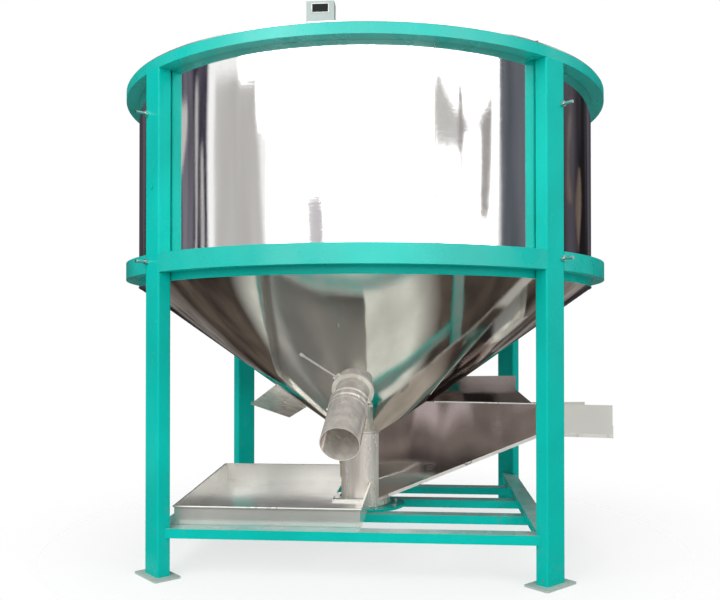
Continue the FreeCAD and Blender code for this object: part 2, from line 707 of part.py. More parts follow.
def across_pin(radius, long, centre, back, level, name):
    """A cylinder along X about a point on the hinge's axis."""
    feature = cylinder(radius, long, "0", name)
    feature.Placement = Placement(Vector(0, 0, 0), ALONG_X)
    return bind(feature, x=f"{centre} - ({long}) / 2", y=back, z=level)


def make_hatch():
    level = f"({LID_TOP} + dims.curb_high + dims.seat_gap)"
    cover = new_body("HatchCover")
    pad(cover, sketch_on(cover, "XY_Plane", [hatch_rectangle("dims.hatch_lap")], lift=level),
        "dims.hatch_thick")
    keep(cover, "hatch_cover")

    top = f"{level} + dims.hatch_thick"
    front = f"-{HATCH_Y} - dims.hatch_wide / 2 + dims.grip_size"
    left = f"{HATCH_X} - dims.grip_long / 2"
    right = f"{HATCH_X} + dims.grip_long / 2 - dims.grip_size"
    pieces = [block("dims.grip_long", "dims.grip_size", "dims.grip_size", left, front,
                    f"{top} + dims.grip_rise", "Grip")]
    for x in (left, right):
        pieces.append(block("dims.grip_size", "dims.grip_size", "dims.grip_rise", x, front, top,
                            "GripFoot"))
    keep(joined(pieces), "hatch_handle")

    edge = f"(-{HATCH_Y} + dims.hatch_wide / 2 + dims.hatch_lap)"
    back = f"({edge} + dims.hinge_out)"
    axis = f"({level} + dims.hatch_thick / 2)"
    knuckle = "(dims.hinge_wide - dims.hinge_play)"
    pins, posts, eyes = [], [], []
    for side in (-1, 1):
        centre = f"({HATCH_X} + {side} * dims.hinge_spread)"
        pins.append(across_pin("dims.pin_radius", "3 * dims.hinge_wide", centre, back, axis, "Pin"))
        for step in (-1, 1):
            middle = f"({centre} + {step} * dims.hinge_wide)"
            posts.append(block(knuckle, "dims.hinge_out",
                               f"{axis} + dims.hinge_out / 2 - {LID_TOP}",
                               f"{middle} - {knuckle} / 2", f"{back} - dims.hinge_out / 2",
                               LID_TOP, "Post"))
        eye = across_pin("dims.hinge_out / 2", knuckle, centre, back, axis, "Eye")
        arm = block(knuckle, "dims.hinge_out", "dims.hatch_thick", f"{centre} - {knuckle} / 2",
                    edge, f"{axis} - dims.hatch_thick / 2", "Arm")
        bore = across_pin("dims.pin_radius + dims.shaft_play", "2 * dims.hinge_wide", centre, back,
                          axis, "Bore")
        eyes.append(cut(joined([eye, arm]), bore))
    keep(joined([*pins, *posts]), "hatch_hinge_stands")
    keep(grouped(eyes, "Knuckles"), "hatch_hinge_knuckles")


def make_drive():
    for name, side in (("front", -1), ("back", 1)):
        beam = tube_body("Beam", "dims.rail_high", "dims.rail_wide", "dims.rail_wall",
                         f"2 * {BEAM_END}")
        beam.Placement = Placement(Vector(0, 0, 0), ALONG_X)
        bind(beam, x=f"-{BEAM_END}", y=f"{side} * dims.beam_offset",
             z=f"{LID_TOP} + dims.rail_high / 2")
        keep(beam, f"motor_beam_{name}")

    plate = new_body("Plate")
    pad(plate, sketch_on(plate, "XY_Plane", [centred("dims.plate_wide", "dims.plate_long")],
                         lift=BEAM_TOP), "dims.plate_thick")
    doc.recompute()
    pocket(plate, circle_on(plate, "XY_Plane", "dims.lid_hole", lift=BEAM_TOP),
           "dims.plate_thick", reverse=True)
    keep(plate, "motor_plate")

    body, rim = "dims.gearbox_radius", "(dims.gearbox_radius + dims.gearbox_rim_wide)"
    gearbox = turned("GearUnit", [[
        (SHAFT_BORE, "0"), (rim, "0"), (rim, "dims.gearbox_rim"), (body, "dims.gearbox_rim"),
        (body, "dims.gearbox_high - dims.gearbox_rim"), (rim, "dims.gearbox_high - dims.gearbox_rim"),
        (rim, "dims.gearbox_high"), ("0", "dims.gearbox_high"),
        ("0", "dims.shaft_seat + dims.shaft_foot"), (SHAFT_BORE, "dims.shaft_seat + dims.shaft_foot"),
    ]])
    bind(gearbox, z=PLATE_TOP)
    keep(gearbox, "gear_unit")

    base = f"({PLATE_TOP} + dims.gearbox_high)"
    motor = new_body("Motor")
    pad(motor, circle_on(motor, "XY_Plane", "dims.motor_radius"), "dims.motor_high")
    doc.recompute()
    fin = pad(motor, sketch_on(motor, "XY_Plane", [rectangle(
        "dims.motor_radius - dims.fin_deep", "-dims.fin_thick / 2",
        "dims.motor_radius + dims.fin_deep", "dims.fin_thick / 2")]), "dims.motor_high")
    doc.recompute()
    fins = motor.newObject("PartDesign::PolarPattern", "Fins")
    fins.Originals = [fin]
    fins.Axis = (next(f for f in motor.Origin.OriginFeatures if f.Role == "Z_Axis"), [""])
    fins.Angle = 360
    fins.setExpression("Occurrences", "dims.fin_count")
    motor.Tip = fins
    bind(motor, z=base)
    keep(motor, "motor")

    cover_radius = "(dims.motor_radius + dims.fin_deep)"
    fan = turned("FanCover", [[
        ("0", "0"), (cover_radius, "0"),
        (cover_radius, "dims.fan_cover_high - dims.fan_cover_slant"),
        (f"{cover_radius} - dims.fan_cover_slant", "dims.fan_cover_high"),
        ("0", "dims.fan_cover_high"),
    ]])
    bind(fan, z=f"{base} + dims.motor_high")
    keep(fan, "fan_cover")

    terminal = block("dims.terminal_out", "dims.terminal_wide", "dims.terminal_high",
                     "dims.motor_radius + dims.fin_deep + dims.seat_gap",
                     "-dims.terminal_wide / 2", f"{base} + dims.motor_high / 4", "Terminal")
    keep(terminal, "terminal_box")


# Outlet: stub, slide gate, neck, clamp ring and spout
def slide_frame():
    """The gate's own frame: X along the slide, Z along the outlet's axis."""
    turn = turn_z(180 - value("dims.blade_angle"))
    return outlet_place().multiply(Placement(Vector(0, 0, 0), turn))


def make_outlet():
    bore, radius = NECK_BORE, "dims.neck_radius"
    gate_end = "(dims.gate_level + dims.gate_high)"
    stub = on_outlet(turned("Stub", [rectangle(bore, f"-{radius}", radius, "dims.gate_level")]))
    keep(cut(stub, cone_solid()), "outlet_stub")

    housing = on_outlet(turned("GateHousing", [
        rectangle(bore, "dims.gate_level", "dims.gate_radius", gate_end)]))
    slot_half = "(dims.blade_half + dims.blade_play)"
    slot_thick = "(dims.blade_thick + 2 * dims.blade_play)"
    slot = new_body("Slot")
    pad(slot, circle_on(slot, "XY_Plane", slot_half), slot_thick)
    doc.recompute()
    pad(slot, sketch_on(slot, "XY_Plane", [rectangle(
        "0", f"-{slot_half}", "2 * dims.gate_radius", slot_half)]), slot_thick)
    middle = value("dims.gate_level + dims.gate_high / 2")
    slot_rise = Vector(0, 0, middle - value(slot_thick) / 2)
    slot.Placement = slide_frame().multiply(Placement(slot_rise, Rotation()))
    neck = on_outlet(turned("Neck", [rectangle(bore, gate_end, radius,
                                               f"{gate_end} + dims.neck_long")]))
    keep(joined([cut(housing, slot), neck]), "gate_housing")

    blade = new_body("Blade")
    pad(blade, circle_on(blade, "XY_Plane", "dims.blade_half"), "dims.blade_thick")
    doc.recompute()
    pad(blade, sketch_on(blade, "XY_Plane", [rectangle(
        "0", "-dims.tongue_half", "dims.gate_radius + dims.tongue_out", "dims.tongue_half")]),
        "dims.blade_thick")
    blade_rise = Vector(0, 0, middle - value("dims.blade_thick") / 2)
    blade.Placement = slide_frame().multiply(Placement(blade_rise, Rotation()))
    keep(blade, "gate_blade")

    rod = cylinder("dims.rod_radius", "dims.rod_long", "0", "Rod")
    grip = cylinder("dims.rod_grip_radius", "dims.rod_grip_long",
                    "dims.rod_long - dims.rod_grip_long", "Grip")
    handle = joined([rod, grip])
    lean = Rotation(Vector(0, 1, 0), 90 - value("dims.rod_tilt"))
    lift = value("dims.blade_thick / 2 + dims.rod_radius + dims.seat_gap") + middle
    handle.Placement = slide_frame().multiply(
        Placement(Vector(value("dims.gate_radius + dims.rod_gap"), 0, lift), lean))
    keep(handle, "gate_rod")

    start, spout_out = "dims.spout_start", "dims.spout_radius"
    spout = on_outlet(turned("Spout", [rectangle(
        f"{spout_out} - dims.neck_wall", start, spout_out, f"{start} + dims.spout_long")]))
    keep(spout, "spout")

    low, high = "dims.clamp_start", "(dims.clamp_start + dims.clamp_high)"
    inner = "(dims.spout_radius + dims.seat_gap)"
    outer = f"({inner} + dims.clamp_wall)"
    bead = f"({outer} + dims.clamp_bead)"
    quarter = "dims.clamp_high / 4"
    clamp = on_outlet(turned("Clamp", [[
        (f"{radius} + dims.seat_gap", low), (outer, low),
        (bead, f"{low} + {quarter} / 2"), (outer, f"{low} + {quarter}"),
        (outer, f"{low} + 2 * {quarter}"), (bead, f"{low} + 2.5 * {quarter}"),
        (outer, f"{low} + 3 * {quarter}"), (outer, high), (inner, high),
        (inner, f"{start} - dims.seat_gap"),
        (f"{radius} + dims.seat_gap", f"{start} - dims.seat_gap"),
    ]]))
    keep(clamp, "clamp_ring")

    bolt = cylinder("dims.clamp_bolt_radius", "dims.clamp_bolt_long", "0", "ClampBolt")
    lugs = [block("dims.lug_out", "dims.lug_thick", "dims.lug_wide", "0", y, "0", "Lug")
            for y in ("-dims.lug_spread / 2 - dims.lug_thick", "dims.lug_spread / 2")]
    lug_base = Placement(Vector(value(f"{bead} + dims.seat_gap"), 0,
                                value("dims.clamp_start + dims.clamp_high / 2 - dims.lug_wide / 2")),
                         Rotation())
    bolt.Placement = Placement(
        Vector(value("dims.lug_out / 2"), -value("dims.clamp_bolt_long / 2"),
               value("dims.lug_wide / 2")), ALONG_Y)
    fitting = joined([bolt, *lugs])
    fitting.Placement = outlet_place().multiply(
        Placement(Vector(0, 0, 0), turn_z(value("dims.lug_turn")))).multiply(lug_base)
    keep(fitting, "clamp_bolt")


# Hopper, chute and tray
def wedge(name, profile, plan, half, top):
    """A prism of a side profile, trimmed to a plan."""
    side = new_body("SideProfile")
    feature = pad(side, sketch_on(side, "XZ_Plane", [profile]), f"2 * {half}")
    feature.Midplane = True
    above = new_body("Plan")
    pad(above, sketch_on(above, "XY_Plane", [plan]), top)
    common = doc.addObject("Part::Common", name)
    common.Base = side
    common.Tool = above
    return common


def clear_of_tank(piece):
    """Cuts away what would reach into the cone or the casing."""
    core = cylinder("dims.casing_radius + dims.seat_gap", "dims.frame_height")
    outside = cone_solid()
    bind(outside, z="dims.cone_foot - 2 * dims.seat_gap")
    return cut(piece, joined([core, outside]))


def make_hopper():
    top, skin = "dims.frame_height", "dims.sheet"
    low, shelf = "dims.hopper_low", "dims.hopper_shelf"
    bend, end = HOPPER_BEND, HOPPER_END
    neck, half = "dims.hopper_neck", "dims.hopper_half"
    inner_end = f"({end} - {skin})"
    outer = wedge(
        "HopperOuter",
        [(HOPPER_NEAR, low), (bend, shelf), (end, shelf), (end, top), (HOPPER_NEAR, top)],
        [(HOPPER_NEAR, f"-{neck}"), (end, f"-{half}"), (end, half), (HOPPER_NEAR, neck)],
        "dims.ring_radius", top)
    inner = wedge(
        "HopperInner",
        [("0", f"{low} + {skin}"), (HOPPER_NEAR, f"{low} + {skin}"), (bend, f"{shelf} + {skin}"),
         (inner_end, f"{shelf} + {skin}"), (inner_end, top), ("0", top)],
        [("0", f"{skin} - {neck}"), (HOPPER_NEAR, f"{skin} - {neck}"),
         (inner_end, f"{skin} - {half}"), (inner_end, f"{half} - {skin}"),
         (HOPPER_NEAR, f"{neck} - {skin}"), ("0", f"{neck} - {skin}")],
        "dims.ring_radius", top)
    past_end = [(inner_end, "dims.hopper_sill"), (f"2 * {end}", "dims.hopper_sill"),
                (f"2 * {end}", top), ("0", top)]
    front_top = new_body("FrontTop")
    pad(front_top, sketch_on(front_top, "XZ_Plane", [[
        ("0", "dims.hopper_front_rim"), (inner_end, "dims.hopper_front_rim"), *past_end]]),
        "dims.ring_radius")
    back_top = new_body("BackTop")
    back_end = f"({end} - dims.hopper_back_clear)"
    slant_end = f"({back_end} + dims.hopper_slant)"
    feature = pad(back_top, sketch_on(back_top, "XZ_Plane", [[
        ("0", "dims.hopper_back_rim"), (back_end, "dims.hopper_back_rim"),
        (back_end, "dims.hopper_back_step"), (slant_end, "dims.hopper_back_low"),
        (inner_end, "dims.hopper_back_low"), *past_end]]), "dims.ring_radius")
    feature.Reversed = True
    pan = cut(cut(outer, inner), joined([front_top, back_top]))
    keep(clear_of_tank(pan), "feed_hopper")


def make_chute():
    """A sheet that leans against the cone; X along it towards the cone, Z its upper side."""
    plate = block("dims.chute_long", "dims.chute_wide", "dims.sheet", "0", "0", "0", "Plate")
    lip = block("dims.sheet", "dims.chute_wide", "dims.chute_lip", "0", "0", "0", "Lip")
    folded = joined([plate, lip])
    lean = turn_z(-value("dims.chute_turn"))
    lean = lean.multiply(Rotation(Vector(0, 1, 0), -value("dims.chute_climb")))
    lean = lean.multiply(Rotation(Vector(1, 0, 0), -value("dims.chute_roll")))
    folded.Placement = Placement(Vector(0, 0, 0), lean)
    bind(folded, x="-dims.chute_x", y="dims.chute_y", z="dims.chute_level")
    keep(clear_of_tank(folded), "feed_chute")


def tray_outline(spread):
    left, front = f"-{TRAY_LEFT} - {spread}", f"-{TRAY_FRONT} - {spread}"
    right, back = f"dims.tray_right + {spread}", f"dims.tray_back + {spread}"
    notch = f"{spread} - {TRAY_NOTCH}"
    return [(left, front), (right, front), (right, notch), (notch, notch), (notch, back),
            (f"{left} - dims.tray_flare", back)]


def make_tray():
    pan = new_body("Tray")
    pad(pan, sketch_on(pan, "XY_Plane", [tray_outline("0")], lift=RAIL_TOP), "dims.tray_high")
    doc.recompute()
    pad(pan, sketch_on(pan, "XY_Plane", [tray_outline("dims.tray_rim")],
                       lift=f"{RAIL_TOP} + dims.tray_high - dims.sheet"), "dims.sheet")
    doc.recompute()
    pocket(pan, sketch_on(pan, "XY_Plane", [tray_outline("-dims.sheet")],
                          lift=f"{RAIL_TOP} + dims.sheet"), "dims.tray_high", reverse=True)
    corner = f"(-{TRAY_NOTCH} - dims.sheet)"
    low_side = block(f"dims.tray_right - dims.sheet - {corner}",
                     f"dims.tray_back - dims.sheet - {corner}", "dims.tray_high", corner, corner,
                     f"{RAIL_TOP} + dims.tray_lip", "LowSide")
    mouth = block("3 * dims.sheet", "dims.side_wide", "dims.tray_high", f"{corner} - dims.sheet",
                  "-dims.side_wide / 2", f"{RAIL_TOP} + dims.sheet", "Mouth")
    floor = block(f"{TRAY_NOTCH} + 2 * dims.sheet - dims.casing_radius / 2",
                  "dims.side_wide", "dims.sheet", f"{corner} - dims.sheet",
                  "-dims.side_wide / 2", RAIL_TOP, "MouthFloor")
    runner = tube_body("Runner", "dims.runner_size", "dims.runner_size", "dims.rail_wall",
                       "dims.runner_long")
    runner.Placement = Placement(Vector(0, 0, 0), ALONG_Y)
    bind(runner, x="-dims.runner_x", y="-dims.cross_first - dims.rail_wide / 2",
         z=f"{RAIL_TOP} - dims.runner_size / 2")
    tray = clear_of_tank(joined([cut(pan, joined([low_side, mouth])), floor]))
    keep(grouped([tray, runner], "TrayOnRunner"), "feed_tray")


# Control box, bolts and plug
def make_small_pieces():
    x = "(-dims.box_x - dims.box_wide / 2)"
    box = block("dims.box_wide", "dims.box_deep", "dims.box_high", x, f"-{BOX_FRONT}", LID_TOP,
                "ControlBox")
    window_x = "(-dims.box_x - dims.window_wide / 2)"
    window_z = f"({LID_TOP} + dims.box_high - dims.window_drop - dims.window_high)"
    recess = block("dims.window_wide", "dims.window_thick", "dims.window_high", window_x,
                   f"-{BOX_FRONT}", window_z, "WindowRecess")
    keep(cut(box, recess), "control_box")
    window = block("dims.window_wide", "dims.window_thick", "dims.window_high", window_x,
                   f"-{BOX_FRONT}", window_z, "Window")
    keep(window, "display_window")

    for name, angle, side in (("left", 225, -1), ("right", 315, 1)):
        bolts = []
        for level in ("dims.frame_height - dims.bolt_drop",
                      "dims.low_ring_level + dims.bolt_rise"):
            bolt = cylinder("dims.bolt_radius", "dims.bolt_long", "0", "Bolt")
            nut = doc.addObject("Part::Prism", "Nut")
            nut.Polygon = 6
            bind(nut, Circumradius="dims.nut_radius", Height="dims.nut_high")
            pair = joined([bolt, nut])
            pair.Placement = Placement(Vector(0, 0, 0),
                                       turn_z(angle).multiply(Rotation(Vector(0, 1, 0), 90)))
            reach = "(dims.ring_radius + 2 * dims.seat_gap)"
            middle_x, middle_y = polar(reach, angle)
            shift = "dims.bolt_aside"
            bind(pair, x=f"{middle_x} + {side} * {shift} * cos(45)",
                 y=f"{middle_y} + {shift} * cos(45)", z=level)
            bolts.append(pair)
        keep(grouped(bolts, "Bolts"), f"leg_bolts_{name}")

    plug = cylinder("dims.plug_radius", "dims.plug_thick", "0", "Plug")
    plug.Placement = Placement(Vector(0, 0, 0),
                               turn_z(225).multiply(Rotation(Vector(0, 1, 0), 90)))
    plug_x, plug_y = polar("(dims.ring_radius + 2 * dims.seat_gap)", 225)
    bind(plug, x=plug_x, y=plug_y, z="dims.plug_level")
    keep(plug, "leg_plug")


def check_and_write():
    doc.recompute()
    for piece in doc.Objects:
        if "Invalid" in piece.State or "Error" in piece.State:
            raise RuntimeError(f"{piece.Name} failed: {piece.State}")
    for piece in finished:
        shape = piece.Shape
        if shape.isNull() or not shape.isValid() or not shape.Solids:
            raise RuntimeError(f"{piece.Label} has no valid solid")
    os.makedirs("parts", exist_ok=True)
    for piece in finished:
        piece.Shape.exportStep(f"parts/{piece.Label}.step")
    print(len(finished), "pieces")


for make in (make_legs, make_rings, make_rails, make_tank, make_casing, make_screw, make_guide,
             make_lid, make_hatch, make_drive, make_outlet, make_hopper, make_chute, make_tray,
             make_small_pieces):
    make()
check_and_write()
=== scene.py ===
"""Dresses the vertical mixer: paint, polished sheet, welds, fixings, studio and camera."""
import math

import bmesh
import bpy
from mathutils import Matrix, Vector


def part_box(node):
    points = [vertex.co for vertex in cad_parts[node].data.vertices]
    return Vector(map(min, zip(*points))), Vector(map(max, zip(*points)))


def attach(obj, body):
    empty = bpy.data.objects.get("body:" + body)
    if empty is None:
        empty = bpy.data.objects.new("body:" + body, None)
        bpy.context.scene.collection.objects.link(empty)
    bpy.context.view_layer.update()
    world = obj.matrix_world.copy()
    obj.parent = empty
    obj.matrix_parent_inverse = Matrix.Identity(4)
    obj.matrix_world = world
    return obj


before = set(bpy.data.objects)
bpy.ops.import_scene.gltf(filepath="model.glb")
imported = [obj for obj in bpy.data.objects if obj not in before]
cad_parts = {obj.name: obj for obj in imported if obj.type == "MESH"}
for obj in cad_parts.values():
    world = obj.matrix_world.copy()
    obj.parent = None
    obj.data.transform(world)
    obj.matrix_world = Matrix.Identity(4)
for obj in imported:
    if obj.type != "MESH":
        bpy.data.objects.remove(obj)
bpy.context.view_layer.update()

# Colours are linear
TEAL = (0.002, 0.48, 0.41)
MIRROR = (0.90, 0.895, 0.885)
STEEL = (0.72, 0.70, 0.67)
DULL_STEEL = (0.62, 0.60, 0.57)
PAN_STEEL = (0.72, 0.71, 0.67)
HOPPER_STEEL = (0.58, 0.50, 0.47)
PALE_STEEL = (0.88, 0.87, 0.82)
PIPE_STEEL = (0.90, 0.835, 0.77)
HEM_STEEL = (0.74, 0.71, 0.67)
ZINC = (0.58, 0.58, 0.57)
BEAD_STEEL = (0.50, 0.47, 0.43)
HEATED_BEAD = (0.36, 0.25, 0.14)
CAST_IRON = (0.06, 0.06, 0.065)
RUBBER = (0.012, 0.012, 0.012)
DARK_GLASS = (0.002, 0.008, 0.008)
PLATE = (0.42, 0.50, 0.46)
DRIVE_GREY = (0.10, 0.12, 0.13)
BOX_GREY = (0.42, 0.50, 0.48)
DUST = (0.34, 0.47, 0.44)
CHIPPED = (0.16, 0.17, 0.15)
FLOOR_WHITE = (0.95, 0.95, 0.95)

# Sizes read from the frame, in metres
SHELL_LOW, SHELL_HIGH = (Vector(c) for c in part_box("tank_shell"))
CONE_LOW, CONE_HIGH = (Vector(c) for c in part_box("cone"))
CASING_LOW, CASING_HIGH = (Vector(c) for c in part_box("screw_casing"))
TANK_RADIUS = SHELL_HIGH.x
CASING_RADIUS = CASING_HIGH.x
RING_RADIUS = Vector(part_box("top_ring")[1]).x
HOPPER_NEAR = CASING_RADIUS / 2
HOPPER_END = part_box("feed_hopper")[1][0]

# The hopper: the bend's place along it, levels, and half widths at the casing and at the end
HOPPER_BEND = 0.875
HOPPER_LOW = 0.185
HOPPER_SHELF = 0.546
HOPPER_RIM = 0.700
HOPPER_NECK = 0.105
HOPPER_HALF = 0.330

# The tray: its front left corner, and the end of its back edge
TRAY_LEFT = -0.770
TRAY_NOTCH = -0.150

# The outlet: where it leaves the cone, its turn to the left and its slope, in degrees
OUTLET_START = (0, -0.541, 0.8333)
OUTLET_TURN = 4.3
OUTLET_SLOPE = 31

# The spout's rivet: how far it is along the outlet and to its left, in metres
RIVET_ALONG = 0.247
RIVET_LEFT = 0.0835

# Where looks change, in metres: paint chips by level, the hopper's sheet by place: painted shade
# on its back wall, and its paler outer end
CHIP_LEVELS = (0.05, 0.55)
HOPPER_PAINTED_SHADE_Y = (-0.10, -0.08)
HOPPER_PALE = (0.93, 0.98)

# Upward part of a face's normal where dust starts and is full
DUST_SLOPES = (0.6, 0.95)

# Thin pieces: radius of a bead, and how far it stands off its surface
SEAM_RADIUS, SEAM_OUT = 0.0018, 0.0008
WELD_RADIUS, WELD_OUT = 0.004, 0.001
HEM_RADIUS = 0.004
SHELL_SEAM_TURN = -72
SHELL_SEAM_FOOT, SHELL_SEAM_TOP = 0.002, 0.05
CASING_SEAM_TURN = -152
CASING_SEAM_LEVELS = [0.300 + 0.02 * i for i in range(10)]

# A bolt's washer, head and crown: sides, lower and upper radius, depth and middle as shares
BOLT_PARTS = (
    (24, 1.45, 1.45, 0.22, 0.11),
    (6, 1.0, 1.0, 0.7, 0.57),
    (6, 1.0, 0.82, 0.1, 0.97),
)

# The floor is see-through past FLOOR_FADE and gone at FLOOR_END
FLOOR_FADE = 1.2
FLOOR_END = 2.6
FLOOR_COVER = 0.32

# Camera fitted to the photograph, with its lengths in pixels of a picture 720 wide
CAMERA_PLACE = (0.3114, -4.1857, 1.0087)
LOOK_TURN = 4.594
LOOK_UP = 0.532
SENSOR = 36
PICTURE_WIDTH = 720
LENS = 801.9 * SENSOR / PICTURE_WIDTH
SHIFT_UP = 32.3 / PICTURE_WIDTH

# Reflection cards: rows of faces, degrees to a column, and the usual and the nearer distance
CARD_ROWS = 24
CARD_STEP = 4
CARD_DISTANCE = 6.0
CARD_NEARER = 5.9

# The ground that metal shows: its middle, and where its pale and brown parts change
GROUND_RADIUS = 20
GROUND_MIDDLE = (-0.25, -0.40, 0)
GROUND_PALE = (0.75, 1.0)
GROUND_BROWN = (2.4, 3.2)


def link(tree, source, target):
    tree.links.new(source, target)


def node(tree, kind, **inputs):
    """A shader node; keyword names are its input names with underscores for spaces."""
    made = tree.nodes.new(kind)
    for name, value in inputs.items():
        made.inputs[name.replace("_", " ")].default_value = value
    return made


def new_material(name):
    """A material, its node tree and its shader."""
    made = bpy.data.materials.new(name)
    made.use_nodes = True
    tree = made.node_tree
    return made, tree, tree.nodes["Principled BSDF"]


def new_glow(name, **inputs):
    """A material that shines, its node tree and its emission node."""
    made, tree, shader = new_material(name)
    tree.nodes.remove(shader)
    light = node(tree, "ShaderNodeEmission", **inputs)
    link(tree, light.outputs[0], tree.nodes["Material Output"].inputs["Surface"])
    return made, tree, light


def coordinates(tree, scale=(1, 1, 1)):
    """Frame coordinates in metres, scaled."""
    source = tree.nodes.new("ShaderNodeTexCoord")
    mapping = node(tree, "ShaderNodeMapping", Scale=scale)
    link(tree, source.outputs["Object"], mapping.inputs["Vector"])
    return mapping.outputs["Vector"]


def axis_of(tree, source, axis):
    split = tree.nodes.new("ShaderNodeSeparateXYZ")
    link(tree, source, split.inputs["Vector"])
    return split.outputs[axis]


def length_of(tree, source):
    made = tree.nodes.new("ShaderNodeVectorMath")
    made.operation = "LENGTH"
    link(tree, source, made.inputs[0])
    return made.outputs["Value"]


def combined(tree, operation, first, second):
    """One number from two, by a node's operation."""
    made = tree.nodes.new("ShaderNodeMath")
    made.operation = operation
    link(tree, first, made.inputs[0])
    link(tree, second, made.inputs[1])
    return made.outputs[0]


def noise(tree, scale, detail=3.0, stretch=(1, 1, 1), roughness=0.5):
    made = node(tree, "ShaderNodeTexNoise", Scale=scale, Detail=detail, Roughness=roughness)
    link(tree, coordinates(tree, stretch), made.inputs["Vector"])
    return made.outputs["Fac"]


def ramp(tree, source, low, high, start=0.35, end=0.65):
    """Maps a factor to a colour or a grey."""
    made = tree.nodes.new("ShaderNodeValToRGB")
    for element, colour, place in zip(made.color_ramp.elements, (low, high), (start, end)):
        element.position = place
        element.color = (*colour, 1) if isinstance(colour, tuple) else (colour,) * 3 + (1,)
    link(tree, source, made.inputs["Fac"])
    return made.outputs["Color"]


def between(tree, source, limits, start=0.0, end=1.0, smooth=False):
    """Maps a value between two limits to another range."""
    made = tree.nodes.new("ShaderNodeMapRange")
    if smooth:
        made.interpolation_type = "SMOOTHSTEP"
    for name, number in zip(("From Min", "From Max", "To Min", "To Max"), (*limits, start, end)):
        made.inputs[name].default_value = number
    link(tree, source, made.inputs["Value"])
    return made.outputs["Result"]


def mixed(tree, amount, first, second):
    """A colour between two, by a factor; each colour is a socket or three numbers."""
    made = tree.nodes.new("ShaderNodeMix")
    made.data_type = "RGBA"
    link(tree, amount, made.inputs[0])
    for index, colour in ((6, first), (7, second)):
        if isinstance(colour, tuple):
            made.inputs[index].default_value = (*colour, 1)
        else:
            link(tree, colour, made.inputs[index])
    return made.outputs[2]


def bump(tree, height, distance, strength=1.0, under=None):
    made = node(tree, "ShaderNodeBump", Strength=strength, Distance=distance)
    link(tree, height, made.inputs["Height"])
    if under is not None:
        link(tree, under, made.inputs["Normal"])
    return made.outputs["Normal"]


def scaled(colour, factor):
    return tuple(min(1.0, c * factor) for c in colour)


def make_paint(name, colour, roughness=0.22, peel=0.00006, wear=0.0, gloss=0.07, dust=0.0):
    """Enamel over steel: a slight orange peel, uneven tone, chips near the floor, dust on top."""
    made, tree, shader = new_material(name)
    tone = ramp(tree, noise(tree, 2.4, detail=4), scaled(colour, 0.90), scaled(colour, 1.06))
    if wear:
        spots = noise(tree, 38, detail=6, stretch=(1, 1, 0.6), roughness=0.7)
        chips = ramp(tree, spots, 0.0, 1.0, start=0.63, end=0.67)
        level = axis_of(tree, coordinates(tree), "Z")
        low = between(tree, level, CHIP_LEVELS, wear, 0.0)
        tone = mixed(tree, combined(tree, "MULTIPLY", chips, low), tone, CHIPPED)
    if dust:
        faces = tree.nodes.new("ShaderNodeNewGeometry")
        upward = axis_of(tree, faces.outputs["Normal"], "Z")
        lying = between(tree, upward, DUST_SLOPES, 0.0, dust)
        patches = ramp(tree, noise(tree, 7, detail=5), 0.45, 1.0, start=0.3, end=0.6)
        tone = mixed(tree, combined(tree, "MULTIPLY", lying, patches), tone, DUST)
    link(tree, tone, shader.inputs["Base Color"])
    link(tree, ramp(tree, noise(tree, 9), roughness * 0.8, roughness * 1.35),
         shader.inputs["Roughness"])
    shader.inputs["Specular IOR Level"].default_value = gloss
    link(tree, bump(tree, noise(tree, 260, detail=2), peel), shader.inputs["Normal"])
    return made


def make_steel(name, colour, rough_low, rough_high, wave=0.0, grain=(1, 1, 60), tarnish=0.86,
               metallic=1.0, pale=None, streaks=0.0, brush=1.0):
    """Polished stainless sheet: brushed grain, faint tarnish and waves that bend reflections.

    A pale colour is for the hopper, whose back wall gets painted shade (a darker colour) and
    whose outer end is paler and duller.
    """
    made, tree, shader = new_material(name)
    shader.inputs["Metallic"].default_value = metallic
    cloud = noise(tree, 2.2, detail=5, stretch=(1, 1, 0.45), roughness=0.6)
    tone = ramp(tree, cloud, scaled(colour, tarnish), colour, start=0.30, end=0.62)
    if streaks:
        runs = noise(tree, 26, stretch=(1, 1, 0.06), roughness=0.6)
        lines = ramp(tree, runs, streaks, 0.0, start=0.38, end=0.60)
        tone = mixed(tree, lines, tone, scaled(colour, 0.42))
    if pale is not None:
        # Painted shade: past these limits across y, the hopper's back wall is darkened in its
        # colour
        back = between(tree, axis_of(tree, coordinates(tree), "Y"), HOPPER_PAINTED_SHADE_Y)
        tone = mixed(tree, back, tone, scaled(colour, 0.45))
        across = axis_of(tree, coordinates(tree), "X")
        tone = mixed(tree, between(tree, across, HOPPER_PALE), tone, pale)
        link(tree, between(tree, across, HOPPER_PALE, metallic, 0.35), shader.inputs["Metallic"])
    link(tree, tone, shader.inputs["Base Color"])
    smear = noise(tree, 6, detail=5, stretch=(1.4, 1.4, 0.3), roughness=0.65)
    link(tree, ramp(tree, smear, rough_low, rough_high, start=0.35, end=0.75),
         shader.inputs["Roughness"])
    normal = bump(tree, noise(tree, 30, detail=2, stretch=grain), 0.00003, brush)
    if wave:
        waves = noise(tree, 1.7, detail=2, stretch=(1.0, 1.0, 0.35), roughness=0.4)
        normal = bump(tree, waves, wave, under=normal)
    link(tree, normal, shader.inputs["Normal"])
    return made


def make_plain(name, colour, roughness, metallic=0.0, grain=90.0, depth=0.0002, gloss=0.5):
    """An even surface with a fine grain."""
    made, tree, shader = new_material(name)
    link(tree, ramp(tree, noise(tree, 14, detail=4), scaled(colour, 0.82), scaled(colour, 1.12)),
         shader.inputs["Base Color"])
    shader.inputs["Metallic"].default_value = metallic
    link(tree, ramp(tree, noise(tree, 25), roughness * 0.85, roughness * 1.2),
         shader.inputs["Roughness"])
    shader.inputs["Specular IOR Level"].default_value = gloss
    link(tree, bump(tree, noise(tree, grain), depth), shader.inputs["Normal"])
    return made


